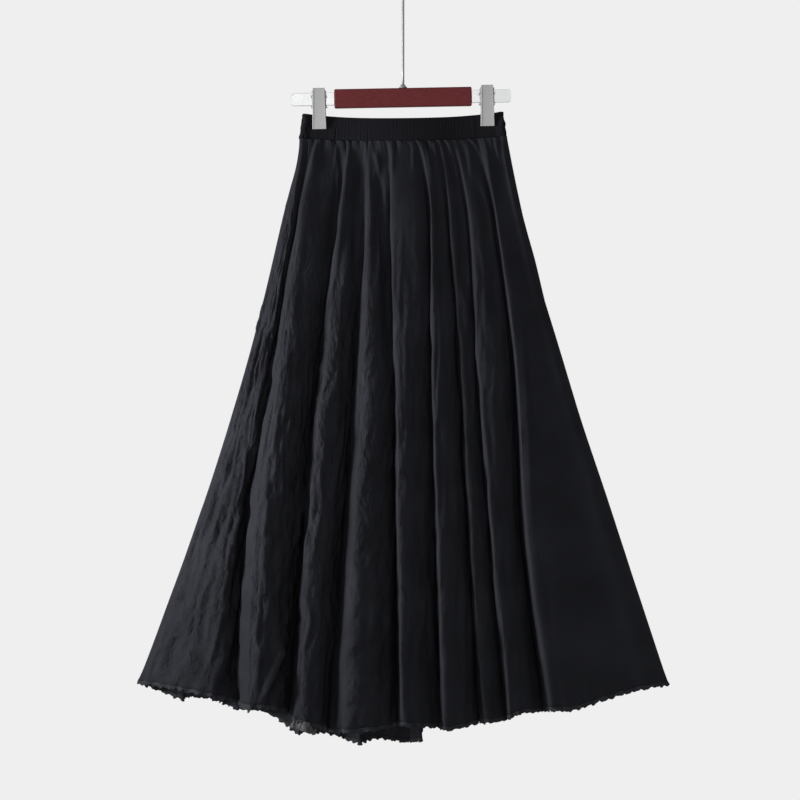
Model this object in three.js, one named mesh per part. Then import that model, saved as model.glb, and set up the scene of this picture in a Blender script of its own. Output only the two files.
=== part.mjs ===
// Maxi skirt with a gathered elastic waist, hung by two clips from a bar hanger.
// Millimetres. X runs to the right, Y away from the viewer and Z up.
// The frame starts at the inner top of the hook, which carries everything.

import * as THREE from 'three';

// Cloth
const WALL = 1.6;              // thickness of the skirt's wall
const SEAM_GAP = 0.3;          // between pieces that are sewn or pressed together
const HEM_TALL = 5;            // overlocked edge below each panel
const HEM_SWELL = 0.4;         // how far the overlocking stands proud on each face
const GATHER_DEEP = 1.5;       // half the depth of a gather at the waist seam
const GATHER_END = 0.42;       // the gathers die out this far down the fold lines
const COLUMN_PITCH = 10.5;     // spacing of the columns of points, measured at the calf
const BANDS = 10;              // bands of faces from waist seam to hem
const BAND_GROWTH = 1.25;      // the bands grow towards the hem

// Waistband, pressed flat at the clips and bowed open between them
const WAIST_HALF = 155;        // half the relaxed width
const WAIST_WALL = 2;          // folded casing with its elastic
const WAIST_TAPER = 0.965;     // the elastic draws its upper edge in
const WAIST_BOW = 10;          // opening of each half at the middle
const BOW_REACH = 110;         // the bow ends here, before the clip
const LOOP_GAPE = 1.5;         // each end loop gapes a little past its clip
const LOOP_START = 143;
const LOOP_FULL = 151;
const RIBS = 26;               // shirring ribs on each half
const RIB_DEEP = 0.8;
const CLIP_PRESS = 17;         // half the width that a clip presses smooth
const SEAM_TURN = 14;          // the left side seam shows this far round on the front

// Heights of the waistband's two edges, each a sagging line that rises to the right
const BAND_TOP = { side: -226.5, sag: 10.5 };
const WAIST_SEAM = { side: -264, sag: 7 };
const EDGE_SLOPE = 0.01;

// Hanger
const WIRE = 4;                // hook and neck
const HOOK_RADIUS = 20;        // centre line of the wire
const BAR_MIDDLE = -204.6;     // height of the bar's centre line
const BAR_TILT = -0.0183;      // the bar hangs about a degree up to the right
const WOOD = { long: 206, deep: 12, tall: 28, round: 2.5 };
const CLEAR_BAR = { deep: 6, tall: 19, round: 5, left: -168, right: 162 };
const CLIP_PLACE = 126;        // each clip's distance from the middle
const SLEEVE = { wide: 24, wall: 2.3 };
const JAW_WIDE = 20;
const COLLAR = { wide: 12, neck: 7.4, tall: 5, rim: 1.6 };

// Cross sections from the waist seam down: share of the length, side edges, and the share of the
// hem's depth that the tube has reached
const SECTIONS = [
  { name: 'seam', share: 0, left: -155, right: 155, open: 0 },
  { name: 'thigh', share: 0.15, left: -181, right: 181, open: 0.17 },
  { name: 'knee', share: 0.4, left: -229, right: 236, open: 0.43 },
  { name: 'calf', share: 0.7, left: -303, right: 315, open: 0.72 },
  { name: 'hem', share: 1, left: -392, right: 397, open: 1 },
];

// Front folds from the side seam to the right edge: place across at each section, distance in
// front of the middle plane at the hem, and length from waist seam to hem. Odd rows are troughs.
const FRONT_FOLDS = [
  { seam: -136, thigh: -165, knee: -196, calf: -243, hem: -257, out: 24, drop: 835 },
  { seam: -130, thigh: -155, knee: -183, calf: -213, hem: -225, out: 96, drop: 831 },
  { seam: -85, thigh: -100, knee: -133, calf: -155, hem: -178, out: 32, drop: 850 },
  { seam: -76, thigh: -92, knee: -116, calf: -138, hem: -154, out: 100, drop: 852 },
  { seam: -61, thigh: -63, knee: -79, calf: -97, hem: -123, out: 44, drop: 872 },
  { seam: -52, thigh: -51, knee: -60, calf: -77, hem: -90, out: 98, drop: 864 },
  { seam: -22, thigh: -25, knee: -21, calf: -18, hem: -19, out: 40, drop: 864 },
  { seam: -13, thigh: -16, knee: -10, calf: -6, hem: -2, out: 104, drop: 856 },
  { seam: 28, thigh: 33, knee: 33, calf: 39, hem: 46, out: 38, drop: 865 },
  { seam: 37, thigh: 43, knee: 44, calf: 51, hem: 59, out: 102, drop: 860 },
  { seam: 52, thigh: 63, knee: 76, calf: 86, hem: 101, out: 46, drop: 861 },
  { seam: 64, thigh: 71, knee: 85, calf: 99, hem: 116, out: 88, drop: 856 },
  { seam: 70, thigh: 88, knee: 100, calf: 117, hem: 137, out: 52, drop: 864 },
  { seam: 85, thigh: 101, knee: 113, calf: 131, hem: 155, out: 90, drop: 859 },
  { seam: 109, thigh: 127, knee: 151, calf: 162, hem: 184, out: 34, drop: 862 },
  { seam: 124, thigh: 141, knee: 167, calf: 182, hem: 215, out: 88, drop: 853 },
  { seam: 139, thigh: 161, knee: 207, calf: 270, hem: 330, out: 50, drop: 828 },
  { seam: 145, thigh: 172, knee: 225, calf: 299, hem: 367, out: 42, drop: 821 },
];

// The right edge, then the back folds from right to left, which fan out evenly from the waist
const BACK_FOLDS = [
  { hem: 397, out: 0, drop: 824 },
  { hem: 352, out: 58, drop: 818 },
  { hem: 310, out: 34, drop: 821 },
  { hem: 264, out: 94, drop: 832 },
  { hem: 222, out: 48, drop: 838 },
  { hem: 172, out: 106, drop: 852 },
  { hem: 128, out: 56, drop: 862 },
  { hem: 72, out: 112, drop: 870 },
  { hem: 28, out: 60, drop: 912 },
  { hem: -16, out: 112, drop: 917 },
  { hem: -64, out: 58, drop: 911 },
  { hem: -116, out: 106, drop: 905 },
  { hem: -158, out: 54, drop: 900 },
  { hem: -208, out: 96, drop: 874 },
  { hem: -248, out: 46, drop: 858 },
  { hem: -298, out: 78, drop: 846 },
  { hem: -336, out: 32, drop: 840 },
  { hem: -364, out: 40, drop: 830 },
  { hem: -392, out: 0, drop: 812 },
];

// The strip of the back panel that turns round the left edge to the front
const LEFT_STRIP = [
  { seam: -150, thigh: -173, knee: -209, calf: -261, hem: -304, out: 55, drop: 821 },
];

const cloth = finish('black_cloth', 0x1c1b20, 0.95, 0);
const thread = finish('overlock_thread', 0x222126, 0.9, 0);
const wood = finish('red_brown_wood', 0x602e2f, 0.45, 0);
const clearPlastic = finish('clear_plastic', 0xe2e4e4, 0.1, 0);
const clipPlastic = finish('grey_clip_plastic', 0xa7a7a7, 0.4, 0);
const chrome = finish('chrome_wire', 0xa2a1a2, 0.25, 1);

function finish(name, color, roughness, metalness) {
  const material = new THREE.MeshStandardMaterial({ color, roughness, metalness });
  material.name = name;
  return material;
}

function piece(name, geometry, material) {
  const mesh = new THREE.Mesh(geometry, material);
  mesh.name = name;
  return mesh;
}

// Height of a waistband edge above a place across the skirt
function edgeHeight(edge, x) {
  return edge.side - edge.sag * Math.max(0, 1 - (x / WAIST_HALF) ** 2) + EDGE_SLOPE * x;
}

// Distance from the middle plane to the waistband's outer face
function bandDepth(x) {
  const across = Math.abs(x);
  const bow = across < BOW_REACH ? WAIST_BOW * (1 - (across / BOW_REACH) ** 2) ** 2 : 0;
  const gape = LOOP_GAPE * THREE.MathUtils.smoothstep(across, LOOP_START, LOOP_FULL);
  return SEAM_GAP / 2 + WAIST_WALL + bow + gape;
}

// The waistband's outer line seen from above, from the left end along the front and back again
function waistRing() {
  const half = [];
  const steps = 30;
  const reach = WAIST_HALF - bandDepth(WAIST_HALF);
  for (let k = 0; k <= steps; k++) half.push(THREE.MathUtils.lerp(-reach, reach, k / steps));
  const front = half.map((x) => new THREE.Vector3(x, -bandDepth(x), 0));
  const back = half.map((x) => new THREE.Vector3(-x, bandDepth(x), 0));
  const left = new THREE.Vector3(-WAIST_HALF, 0, 0);
  const right = new THREE.Vector3(WAIST_HALF, 0, 0);
  return new THREE.CatmullRomCurve3([left, ...front, right, ...back], true, 'centripetal');
}

const waist = waistRing();

function wrap(share) {
  return share - Math.floor(share);
}

// Outward direction seen from above, for a line that runs left to right along the front
function outwardOf(tangent) {
  return new THREE.Vector3(tangent.y, -tangent.x, 0).normalize();
}

// A crest or trough from the waist seam to the hem
function foldLine(fold, facing) {
  const points = SECTIONS.map((section) => {
    const edge = fold.hem > 0 ? section.right : section.left;
    const edgeAtHem = fold.hem > 0 ? SECTIONS.at(-1).right : SECTIONS.at(-1).left;
    const fanned = (fold.hem * edge) / edgeAtHem;
    const x = 'seam' in fold ? fold[section.name] : fanned;
    const close = fold.out === 0 ? 0 : bandDepth(x) + GATHER_DEEP;
    const y = facing * THREE.MathUtils.lerp(close, fold.out, section.open);
    const z = edgeHeight(WAIST_SEAM, x) - (fold.drop - HEM_TALL - SEAM_GAP) * section.share;
    return new THREE.Vector3(x, y, z);
  });
  return new THREE.CatmullRomCurve3(points, false, 'centripetal');
}

const foldLines = [
  ...FRONT_FOLDS.map((fold) => foldLine(fold, -1)),
  ...BACK_FOLDS.map((fold) => foldLine(fold, 1)),
  ...LEFT_STRIP.map((fold) => foldLine(fold, -1)),
];

// The tube's closed cross section a share of the way down the fold lines
const ringStore = new Map();
function foldRing(down) {
  if (!ringStore.has(down)) {
    const points = foldLines.map((line) => line.getPoint(down));
    ringStore.set(down, new THREE.CatmullRomCurve3(points, true, 'centripetal'));
  }
  return ringStore.get(down);
}

// Columns of points round the tube between two fold lines, closer where the cloth runs deeper
function columnsBetween(first, last, waistFrom, waistTo) {
  const calf = 0.75;
  const points = foldLines.map((line) => line.getPoint(calf));
  const places = [];
  for (let line = first; line < last; line++) {
    const run = points[line].distanceTo(points[(line + 1) % points.length]);
    const steps = Math.max(2, Math.round(run / COLUMN_PITCH));
    for (let k = 0; k < steps; k++) places.push(line + k / steps);
  }
  return places.map((fold, k) => ({
    fold,
    waist: THREE.MathUtils.lerp(waistFrom, waistTo, k / places.length),
  }));
}

const seamShare = SEAM_TURN / waist.getLength();
const rightEdge = FRONT_FOLDS.length;
const frontColumns = columnsBetween(0, rightEdge, seamShare, 0.5);
const backColumns = columnsBetween(rightEdge, foldLines.length, 0.5, 1 + seamShare);
const columns = [...frontColumns, ...backColumns];

// Place of a column, or of a point between two, on the fold ring and on the waist ring
function station(column) {
  const lap = Math.floor(column / columns.length);
  const k = column - lap * columns.length;
  const here = columns[Math.floor(k)];
  const next = columns[Math.floor(k) + 1] ?? {
    fold: foldLines.length,
    waist: 1 + seamShare,
  };
  return {
    fold: THREE.MathUtils.lerp(here.fold, next.fold, k % 1) / foldLines.length,
    waist: wrap(THREE.MathUtils.lerp(here.waist, next.waist, k % 1)),
  };
}

// The outer face without gathers: even along the waist, then drawn into the folds
function smoothPoint(column, down) {
  const { fold, waist: share } = station(column);
  const point = foldRing(down).getPoint(fold);
  const thigh = 0.25;
  const gathered = Math.max(0, 1 - down / thigh) ** 2;
  if (gathered > 0) {
    const seam = waist.getPointAt(share);
    seam.addScaledVector(outwardOf(waist.getTangentAt(share)), GATHER_DEEP);
    seam.z = edgeHeight(WAIST_SEAM, seam.x);
    point.lerp(seam, gathered);
  }
  return point;
}

// The outer face with its gathers, four columns to each, none quite like the next, and shallow
// where the waist turns round its two ends
function clothPoint(column, down) {
  const point = smoothPoint(column, down);
  const fade = Math.max(0, 1 - down / GATHER_END) ** 1.5;
  if (fade === 0) return point;
  const along = smoothPoint(column + 0.5, down).sub(smoothPoint(column - 0.5, down));
  const uneven = 0.75 + 0.25 * Math.sin(column * 0.45);
  const calm = 1 - (waist.getPointAt(station(column).waist).x / WAIST_HALF) ** 12;
  const ripple = GATHER_DEEP * uneven * calm * fade * Math.cos((column * Math.PI) / 2);
  return point.addScaledVector(outwardOf(along), ripple);
}

// The face's own directions at a point: along the ring, down the cloth and outwards
function directions(column, down) {
  const step = 0.5;
  const drop = 0.02;
  const above = clothPoint(column, Math.max(0, down - drop));
  const below = clothPoint(column, Math.min(1, down + drop));
  const along = clothPoint(column + step, down).sub(clothPoint(column - step, down)).normalize();
  const fall = below.sub(above).normalize();
  return { along, fall, out: fall.clone().cross(along).normalize() };
}

// A closed wall between an outer and an inner grid of points, rows running down
function wallBetween(outer, inner) {
  const rows = outer.length;
  const width = outer[0].length;
  const points = [...outer.flat(), ...inner.flat()];
  const index = [];
  const at = (layer, row, column) => (layer * rows + row) * width + column;
  const quad = (a, b, c, d) => index.push(a, b, c, a, c, d);
  for (let row = 0; row < rows - 1; row++) {
    for (let k = 0; k < width - 1; k++) {
      quad(at(0, row, k), at(0, row + 1, k), at(0, row + 1, k + 1), at(0, row, k + 1));
      quad(at(1, row, k), at(1, row, k + 1), at(1, row + 1, k + 1), at(1, row + 1, k));
    }
    quad(at(0, row, 0), at(1, row, 0), at(1, row + 1, 0), at(0, row + 1, 0));
    const end = width - 1;
    quad(at(0, row, end), at(0, row + 1, end), at(1, row + 1, end), at(1, row, end));
  }
  for (let k = 0; k < width - 1; k++) {
    const last = rows - 1;
    quad(at(0, 0, k), at(0, 0, k + 1), at(1, 0, k + 1), at(1, 0, k));
    quad(at(0, last, k), at(1, last, k), at(1, last, k + 1), at(0, last, k + 1));
  }
  const geometry = new THREE.BufferGeometry().setFromPoints(points);
  geometry.setIndex(index);
  geometry.computeVertexNormals();
  return geometry;
}

// Half a seam gap, towards the middle of a piece at its first and last column
function seamShift(k, last) {
  if (k === 0) return SEAM_GAP / 2;
  return k === last ? -SEAM_GAP / 2 : 0;
}

function panel(firstColumn, count) {
  const outer = [];
  const inner = [];
  for (let row = 0; row <= BANDS; row++) {
    const down = (row / BANDS) ** BAND_GROWTH;
    const face = [];
    const lining = [];
    for (let k = 0; k <= count; k++) {
      const { along, out } = directions(firstColumn + k, down);
      if (row === 0) out.setZ(0).normalize();      // the edge under the waistband is cut level
      const point = clothPoint(firstColumn + k, down);
      point.addScaledVector(along, seamShift(k, count));
      face.push(point);
      lining.push(point.clone().addScaledVector(out, -WALL));
    }
    outer.push(face);
    inner.push(lining);
  }
  return wallBetween(outer, inner);
}

// The overlocked edge hangs from the panel's own lowest points
function hem(firstColumn, count) {
  const outer = [[], []];
  const inner = [[], []];
  const heights = [SEAM_GAP, SEAM_GAP + HEM_TALL];
  for (let k = 0; k <= count; k++) {
    const { along, fall, out } = directions(firstColumn + k, 1);
    heights.forEach((height, row) => {
      const point = clothPoint(firstColumn + k, 1).addScaledVector(fall, height);
      point.addScaledVector(along, seamShift(k, count));
      outer[row].push(point.clone().addScaledVector(out, HEM_SWELL));
      inner[row].push(point.clone().addScaledVector(out, -WALL - HEM_SWELL));
    });
  }
  return wallBetween(outer, inner);
}

// Half of the casing: shirring ribs on its outer face, smooth where a clip presses it
function waistband(from, to) {
  const outer = [[], []];
  const inner = [[], []];
  const steps = RIBS * 4;
  for (let k = 0; k <= steps; k++) {
    const share = THREE.MathUtils.lerp(from, to, k / steps);
    const line = waist.getPointAt(wrap(share));
    const along = waist.getTangentAt(wrap(share));
    const out = outwardOf(along);
    const pressed = Math.abs(Math.abs(line.x) - CLIP_PLACE) < CLIP_PRESS;
    const rib = pressed ? 0 : (RIB_DEEP * (1 - Math.cos((k * Math.PI) / 2))) / 2;
    line.addScaledVector(along, seamShift(k, steps));
    const top = line.clone().setX(line.x * WAIST_TAPER);
    const edges = [
      top.setZ(edgeHeight(BAND_TOP, top.x)),
      line.clone().setZ(edgeHeight(WAIST_SEAM, line.x) + SEAM_GAP),
    ];
    edges.forEach((point, row) => {
      outer[row].push(point.clone().addScaledVector(out, rib));
      inner[row].push(point.clone().addScaledVector(out, -WAIST_WALL));
    });
  }
  return wallBetween(outer, inner);
}

// A flat outline in X and Z, given its depth along Y and set on the middle plane
function plate(outline, deep) {
  const geometry = new THREE.ExtrudeGeometry(outline, {
    depth: deep, bevelEnabled: false, curveSegments: 5,
  });
  return geometry.translate(0, 0, -deep / 2).rotateX(Math.PI / 2);
}

// A bar's outline from one end to the other, with its own rounding at each
function barOutline(left, right, tall, roundLeft, roundRight) {
  const half = tall / 2;
  const shape = new THREE.Shape();
  shape.moveTo(left + roundLeft, -half);
  shape.lineTo(right - roundRight, -half);
  if (roundRight) {
    shape.absarc(right - roundRight, -half + roundRight, roundRight, -Math.PI / 2, 0);
    shape.absarc(right - roundRight, half - roundRight, roundRight, 0, Math.PI / 2);
  } else {
    shape.lineTo(right, half);
  }
  shape.lineTo(left + roundLeft, half);
  if (roundLeft) {
    shape.absarc(left + roundLeft, half - roundLeft, roundLeft, Math.PI / 2, Math.PI);
    shape.absarc(left + roundLeft, -half + roundLeft, roundLeft, Math.PI, 1.5 * Math.PI);
  }
  shape.closePath();
  return shape;
}

function woodBar() {
  const half = WOOD.long / 2;
  return plate(barOutline(-half, half, WOOD.tall, WOOD.round, WOOD.round), WOOD.deep);
}

function clearEnd(side) {
  const root = WOOD.long / 2 + SEAM_GAP;
  const { left, right, tall, deep, round } = CLEAR_BAR;
  const outline = side < 0
    ? barOutline(left, -root, tall, round, 0)
    : barOutline(root, right, tall, 0, round);
  return plate(outline, deep);
}

// An outline in Y and Z, run along X by its width about the clip's middle
function acrossClip(outline, wide) {
  const geometry = new THREE.ExtrudeGeometry(outline, { depth: wide, bevelEnabled: false });
  geometry.translate(0, 0, -wide / 2);
  return geometry.rotateX(Math.PI / 2).rotateZ(Math.PI / 2);
}

// The sleeve that rides on the clear bar
function clipSleeve() {
  const deep = CLEAR_BAR.deep / 2 + SEAM_GAP;
  const tall = CLEAR_BAR.tall / 2 + SEAM_GAP;
  const outline = new THREE.Shape(corners(deep + SLEEVE.wall, tall + SLEEVE.wall));
  outline.holes.push(new THREE.Path(corners(deep, tall)));
  return acrossClip(outline, SLEEVE.wide);
}

function corners(halfDeep, halfTall) {
  return [
    new THREE.Vector2(-halfDeep, -halfTall),
    new THREE.Vector2(halfDeep, -halfTall),
    new THREE.Vector2(halfDeep, halfTall),
    new THREE.Vector2(-halfDeep, halfTall),
  ];
}

// A jaw in side view: finger end over the sleeve, then a bend down to the pressed waistband
function clipJaw(facing) {
  const clear = CLEAR_BAR.deep / 2 + 2 * SEAM_GAP + SLEEVE.wall;
  const grip = SEAM_GAP / 2 + WAIST_WALL + SEAM_GAP;
  const foot = -45.4;
  const outline = new THREE.Shape([
    [grip, foot], [grip + 2.3, foot], [grip + 3.6, -37], [clear + 2.7, -18],
    [clear + 3, 0], [clear + 3.2, 15.6], [clear + 1, 15.6], [clear, 6],
    [clear, -14], [grip, -22],
  ].map(([y, z]) => new THREE.Vector2(facing * y, z)));
  return acrossClip(outline, JAW_WIDE);
}

// A question mark of wire, its neck standing on the bar
function hookWire() {
  const foot = BAR_MIDDLE + WOOD.tall / 2 + SEAM_GAP;
  const centre = WIRE / 2 - HOOK_RADIUS;
  const points = [foot, foot + 45, foot + 90, -62, -52].map((z) => new THREE.Vector3(0, 0, z));
  points.push(new THREE.Vector3(3.5, 0, -43));
  for (let degrees = -50; degrees <= 200; degrees += 25) {
    const turn = THREE.MathUtils.degToRad(degrees);
    points.push(new THREE.Vector3(
      HOOK_RADIUS * Math.cos(turn), 0, centre + HOOK_RADIUS * Math.sin(turn),
    ));
  }
  const section = new THREE.Shape();
  section.absarc(0, 0, WIRE / 2, 0, 2 * Math.PI);
  return new THREE.ExtrudeGeometry(section, {
    steps: 44, curveSegments: 4, bevelEnabled: false,
    extrudePath: new THREE.CatmullRomCurve3(points, false, 'centripetal'),
  });
}

// The flared collar round the neck, seated on the bar
function neckCollar() {
  const bore = WIRE / 2 + SEAM_GAP;
  const profile = [
    [bore, 0], [COLLAR.wide / 2, 0], [COLLAR.wide / 2, COLLAR.rim],
    [COLLAR.neck / 2, COLLAR.tall], [bore, COLLAR.tall], [bore, 0],
  ].map(([radius, height]) => new THREE.Vector2(radius, height));
  const geometry = new THREE.LatheGeometry(profile, 16).rotateX(Math.PI / 2);
  return geometry.translate(0, 0, BAR_MIDDLE + WOOD.tall / 2 + SEAM_GAP);
}

function clip(name, place) {
  const group = new THREE.Group();
  group.add(
    piece(`clip_${name}_sleeve`, clipSleeve(), clipPlastic),
    piece(`clip_${name}_front_jaw`, clipJaw(-1), clipPlastic),
    piece(`clip_${name}_back_jaw`, clipJaw(1), clipPlastic),
  );
  group.position.x = place;
  return group;
}

function hanger() {
  const bar = new THREE.Group();
  bar.add(
    piece('hanger_wood_bar', woodBar(), wood),
    piece('hanger_clear_bar_left', clearEnd(-1), clearPlastic),
    piece('hanger_clear_bar_right', clearEnd(1), clearPlastic),
    clip('left', -CLIP_PLACE),
    clip('right', CLIP_PLACE),
  );
  bar.position.z = BAR_MIDDLE;
  bar.rotation.y = BAR_TILT;
  const group = new THREE.Group();
  group.add(
    bar,
    piece('hanger_neck_collar', neckCollar(), chrome),
    piece('hanger_hook', hookWire(), chrome),
  );
  return group;
}

function skirt() {
  const group = new THREE.Group();
  const front = frontColumns.length;
  const back = backColumns.length;
  group.add(
    piece('front_panel', panel(0, front), cloth),
    piece('back_panel', panel(front, back), cloth),
    piece('front_hem', hem(0, front), thread),
    piece('back_hem', hem(front, back), thread),
    piece('waistband_front', waistband(0, 0.5), cloth),
    piece('waistband_back', waistband(0.5, 1), cloth),
  );
  return group;
}

const part = new THREE.Group();
part.add(skirt(), hanger());

export default part;
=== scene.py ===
import math

import bmesh
import bpy
import numpy as np
from mathutils import Matrix, Vector


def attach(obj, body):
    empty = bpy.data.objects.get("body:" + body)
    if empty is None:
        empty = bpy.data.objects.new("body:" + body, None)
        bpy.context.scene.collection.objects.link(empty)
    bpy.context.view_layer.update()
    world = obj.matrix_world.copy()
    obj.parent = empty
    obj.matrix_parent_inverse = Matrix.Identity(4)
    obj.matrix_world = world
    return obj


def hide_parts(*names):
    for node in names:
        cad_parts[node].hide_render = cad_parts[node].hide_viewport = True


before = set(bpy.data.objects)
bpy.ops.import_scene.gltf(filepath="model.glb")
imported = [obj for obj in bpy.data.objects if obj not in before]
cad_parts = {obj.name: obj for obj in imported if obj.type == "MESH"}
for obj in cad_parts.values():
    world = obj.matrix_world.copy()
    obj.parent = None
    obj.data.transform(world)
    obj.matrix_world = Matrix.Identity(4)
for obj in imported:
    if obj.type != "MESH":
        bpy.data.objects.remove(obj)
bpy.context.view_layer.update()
mm = 0.001
print("frame loaded")


# stage, lights and camera

view = {
    "distance": 2.6,            # from the hanging plane, which is y = 0
    "middle": (-0.0045, -0.658),
    "lens": 78,
    "paper": (0.863, 0.863, 0.863),
    "roomLight": 0.5,           # the room lights the part less than the backdrop shows
    "floorHeight": -1.9,
    "floorRadius": 2.4,
}

lamps = {
    # name: place, aimed at, width, watts, spread in degrees
    "keyFromLeft": ((-2.3, -0.62, -0.55), (-0.15, 0, -0.63), 0.6, 12, 50),
    "fillFromFront": ((-0.4, -3.1, -0.3), (0, 0, -0.8), 1.8, 22, 180),
}


def aimAt(ob, target):
    away = Vector(target) - ob.location
    ob.rotation_euler = away.to_track_quat("-Z", "Y").to_euler()


def setStage():
    world = bpy.data.worlds.new("paleStudio")
    world.use_nodes = True
    tree = world.node_tree
    room = tree.nodes["Background"]
    backdrop = tree.nodes.new("ShaderNodeBackground")
    for shade, strength in ((room, view["roomLight"]), (backdrop, 1)):
        shade.inputs["Color"].default_value = (*view["paper"], 1)
        shade.inputs["Strength"].default_value = strength
    ray = tree.nodes.new("ShaderNodeLightPath")
    straight = tree.nodes.new("ShaderNodeMath")
    straight.operation = "MAXIMUM"
    tree.links.new(ray.outputs["Is Camera Ray"], straight.inputs[0])
    tree.links.new(ray.outputs["Is Transmission Ray"], straight.inputs[1])
    mix = tree.nodes.new("ShaderNodeMixShader")
    tree.links.new(straight.outputs["Value"], mix.inputs["Fac"])
    tree.links.new(room.outputs["Background"], mix.inputs[1])
    tree.links.new(backdrop.outputs["Background"], mix.inputs[2])
    tree.links.new(mix.outputs["Shader"], tree.nodes["World Output"].inputs["Surface"])
    bpy.context.scene.world = world

    bm = bmesh.new()
    bmesh.ops.create_circle(bm, cap_ends=True, segments=96, radius=view["floorRadius"])
    bmesh.ops.translate(bm, verts=bm.verts, vec=(0, 0, view["floorHeight"]))
    mesh = bpy.data.meshes.new("floor")
    bm.to_mesh(mesh)
    bm.free()
    floor = bpy.data.objects.new("floor", mesh)
    bpy.context.collection.objects.link(floor)
    plaster = bpy.data.materials.new("paleFloor")
    plaster.use_nodes = True
    shader = plaster.node_tree.nodes["Principled BSDF"]
    shader.inputs["Base Color"].default_value = (*view["paper"], 1)
    shader.inputs["Roughness"].default_value = 0.9
    floor.data.materials.append(plaster)

    for name, (place, target, width, watts, spread) in lamps.items():
        light = bpy.data.lights.new(name, "AREA")
        light.shape = "DISK"
        light.size = width
        light.energy = watts
        light.spread = math.radians(spread)
        lamp = bpy.data.objects.new(name, light)
        bpy.context.collection.objects.link(lamp)
        lamp.location = place
        aimAt(lamp, target)

    lens = bpy.data.cameras.new("camera")
    lens.lens = view["lens"]
    camera = bpy.data.objects.new("camera", lens)
    bpy.context.collection.objects.link(camera)
    camera.location = (view["middle"][0], -view["distance"], view["middle"][1])
    camera.rotation_euler = (math.radians(90), 0, 0)
    bpy.context.scene.camera = camera
    bpy.context.scene.view_settings.view_transform = "Standard"


setStage()
print("stage, lights and camera set")


# materials

uvSpan = 1.6                    # metres of cloth across the unit square

clothLook = {
    "dark": (0.0118, 0.0122, 0.0152),
    "light": (0.0168, 0.0174, 0.0214),
    "mottle": 14,               # patches in a metre
    "crumple": (105, 50),       # soft dents in a metre, across and down, and how deep they are
    "crumpleDeep": 0.008,
    "grain": 1500,              # crepe grains in a metre, and how deep they are
    "grainDeep": 0.00005,
    "rough": (0.75, 0.9),
    "gloss": 0.04,
    "through": 0.12,            # share of the light that goes on into the thin cloth
    "throughColor": (0.50, 0.51, 0.54),
}

# a darker copy of the crepe: painted shade on the waistband's casing
casingShadedLook = {
    **clothLook,
    "dark": (0.0058, 0.0060, 0.0075),
    "light": (0.0079, 0.0081, 0.0101),
    "through": 0.03,
}

# lighter than the cloth: painted light on the overlocked hem, for the light that comes through the
# hem's edge
threadPaintedLightLook = {
    **clothLook,
    "dark": (0.014, 0.0145, 0.018),
    "light": (0.034, 0.035, 0.040),
    "mottle": 60,
    "grainDeep": 0.00016,
    "stitches": 420,            # how closely the thread is wound
}

# paler still: painted light on the turned hem, for the bright patch where light comes through the
# hem's edge
hemLightPatchLook = {
    **threadPaintedLightLook,
    "dark": (0.04, 0.04, 0.043),
    "light": (0.105, 0.105, 0.11),
    "mottle": 160,
}

woodLook = {
    "dark": (0.070, 0.0100, 0.0125),
    "light": (0.120, 0.0190, 0.0195),
    "rings": 70,
    "stretch": (1.5, 14, 14),
    "rough": (0.45, 0.6),
    "gloss": 0.12,
    "bump": (0.12, 0.0002),     # strength and distance
}

plasticLook = {"color": (0.305, 0.305, 0.31), "fleck": 900}
wireLook = {"color": (0.36, 0.36, 0.365), "scratch": 1400}
clearLook = {"color": (0.86, 0.87, 0.87), "cloud": 60, "bend": 1.49}
fleckBump = (0.08, 0.0001)


def newMaterial(name):
    material = bpy.data.materials.new(name)
    material.use_nodes = True
    tree = material.node_tree
    return material, tree, tree.nodes["Principled BSDF"]


def addNode(tree, kind, **values):
    node = tree.nodes.new(kind)
    for key, value in values.items():
        node.inputs[key].default_value = value
    return node


def objectNoise(tree, scale, detail):
    coords = tree.nodes.new("ShaderNodeTexCoord")
    noise = addNode(tree, "ShaderNodeTexNoise", Scale=scale, Detail=detail)
    tree.links.new(coords.outputs["Object"], noise.inputs["Vector"])
    return noise.outputs["Fac"]


def colorBetween(tree, fac, low, high):
    ramp = tree.nodes.new("ShaderNodeValToRGB")
    ramp.color_ramp.elements[0].position = 0.3
    ramp.color_ramp.elements[0].color = (*low, 1)
    ramp.color_ramp.elements[1].position = 0.7
    ramp.color_ramp.elements[1].color = (*high, 1)
    tree.links.new(fac, ramp.inputs["Fac"])
    return ramp.outputs["Color"]


def roughBetween(tree, fac, low, high):
    spread = addNode(tree, "ShaderNodeMapRange", **{"To Min": low, "To Max": high})
    tree.links.new(fac, spread.inputs["Value"])
    return spread.outputs["Result"]


def bumpFrom(tree, height, strength, distance, shader):
    bump = addNode(tree, "ShaderNodeBump", Strength=strength, Distance=distance)
    tree.links.new(height, bump.inputs["Height"])
    tree.links.new(bump.outputs["Normal"], shader.inputs["Normal"])


def multiplied(tree, value, factor):
    node = tree.nodes.new("ShaderNodeMath")
    node.operation = "MULTIPLY"
    tree.links.new(value, node.inputs[0])
    if isinstance(factor, float):
        node.inputs[1].default_value = factor
    else:
        tree.links.new(factor, node.inputs[1])
    return node.outputs["Value"]


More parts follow.
